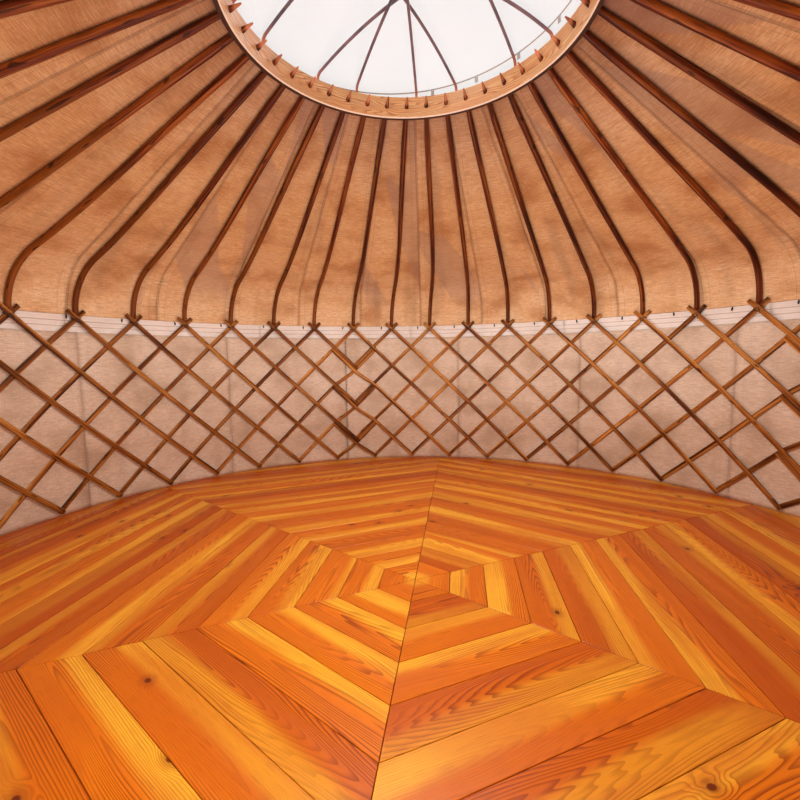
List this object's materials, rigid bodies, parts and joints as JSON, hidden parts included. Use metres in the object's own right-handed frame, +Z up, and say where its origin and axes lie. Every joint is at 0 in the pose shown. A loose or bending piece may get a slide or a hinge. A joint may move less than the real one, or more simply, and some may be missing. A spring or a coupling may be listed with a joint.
{
  "type": "yurt",
  "caption": "Round bent-pole yurt with a lattice wall, timber floor, canvas cover and a clear domed crown over a bent wooden ring.",
  "frame": {"origin": "centre of the platform at its underside, on the ground", "axes": "+Z up, the doorway faces -Y"},
  "size_m": [5.5532, 5.6261, 3.2367],
  "materials": {
    "bow": "brown bent rods",
    "clear_sheet": "clear flexible sheet",
    "ring": "pale bent wood",
    "canvas": "off-white canvas",
    "door_timber": "oiled timber",
    "floor_board": "oiled orange pine boards",
    "lath": "oiled dark laths",
    "webbing": "woven webbing",
    "frame_timber": "sawn softwood",
    "roof_lining": "coarse beige cloth lining",
    "pole": "steam-bent reddish brown poles",
    "wall_lining": "beige cloth lining"
  },
  "bodies": {
    "root": {"crown_bows_1": "bow", "crown_bows_2": "bow", "crown_bows_3": "bow", "crown_bows_4": "bow", "crown_cap": "clear_sheet", "crown_ring": "ring", "door_flap": "canvas", "door_jamb_left": "door_timber", "door_jamb_right": "door_timber", "door_lintel": "door_timber", "door_threshold": "door_timber", "floor_sector_1": "floor_board", "floor_sector_2": "floor_board", "floor_sector_3": "floor_board", "floor_sector_4": "floor_board", "floor_sector_5": "floor_board", "floor_sector_6": "floor_board", "lattice_section_1": "lath", "lattice_section_2": "lath", "lattice_section_3": "lath", "lattice_section_4": "lath", "lower_band": "webbing", "platform_frame": "frame_timber", "roof_cover_1": "canvas", "roof_cover_2": "canvas", "roof_cover_3": "canvas", "roof_cover_4": "canvas", "roof_cover_5": "canvas", "roof_cover_6": "canvas", "roof_liner": "roof_lining", "roof_poles_1": "pole", "roof_poles_2": "pole", "roof_poles_3": "pole", "roof_poles_4": "pole", "roof_poles_5": "pole", "upper_band": "webbing", "wall_cover_1": "canvas", "wall_cover_2": "canvas", "wall_cover_3": "canvas", "wall_cover_4": "canvas", "wall_cover_5": "canvas", "wall_liner": "wall_lining"}
  },
  "joints": []
}
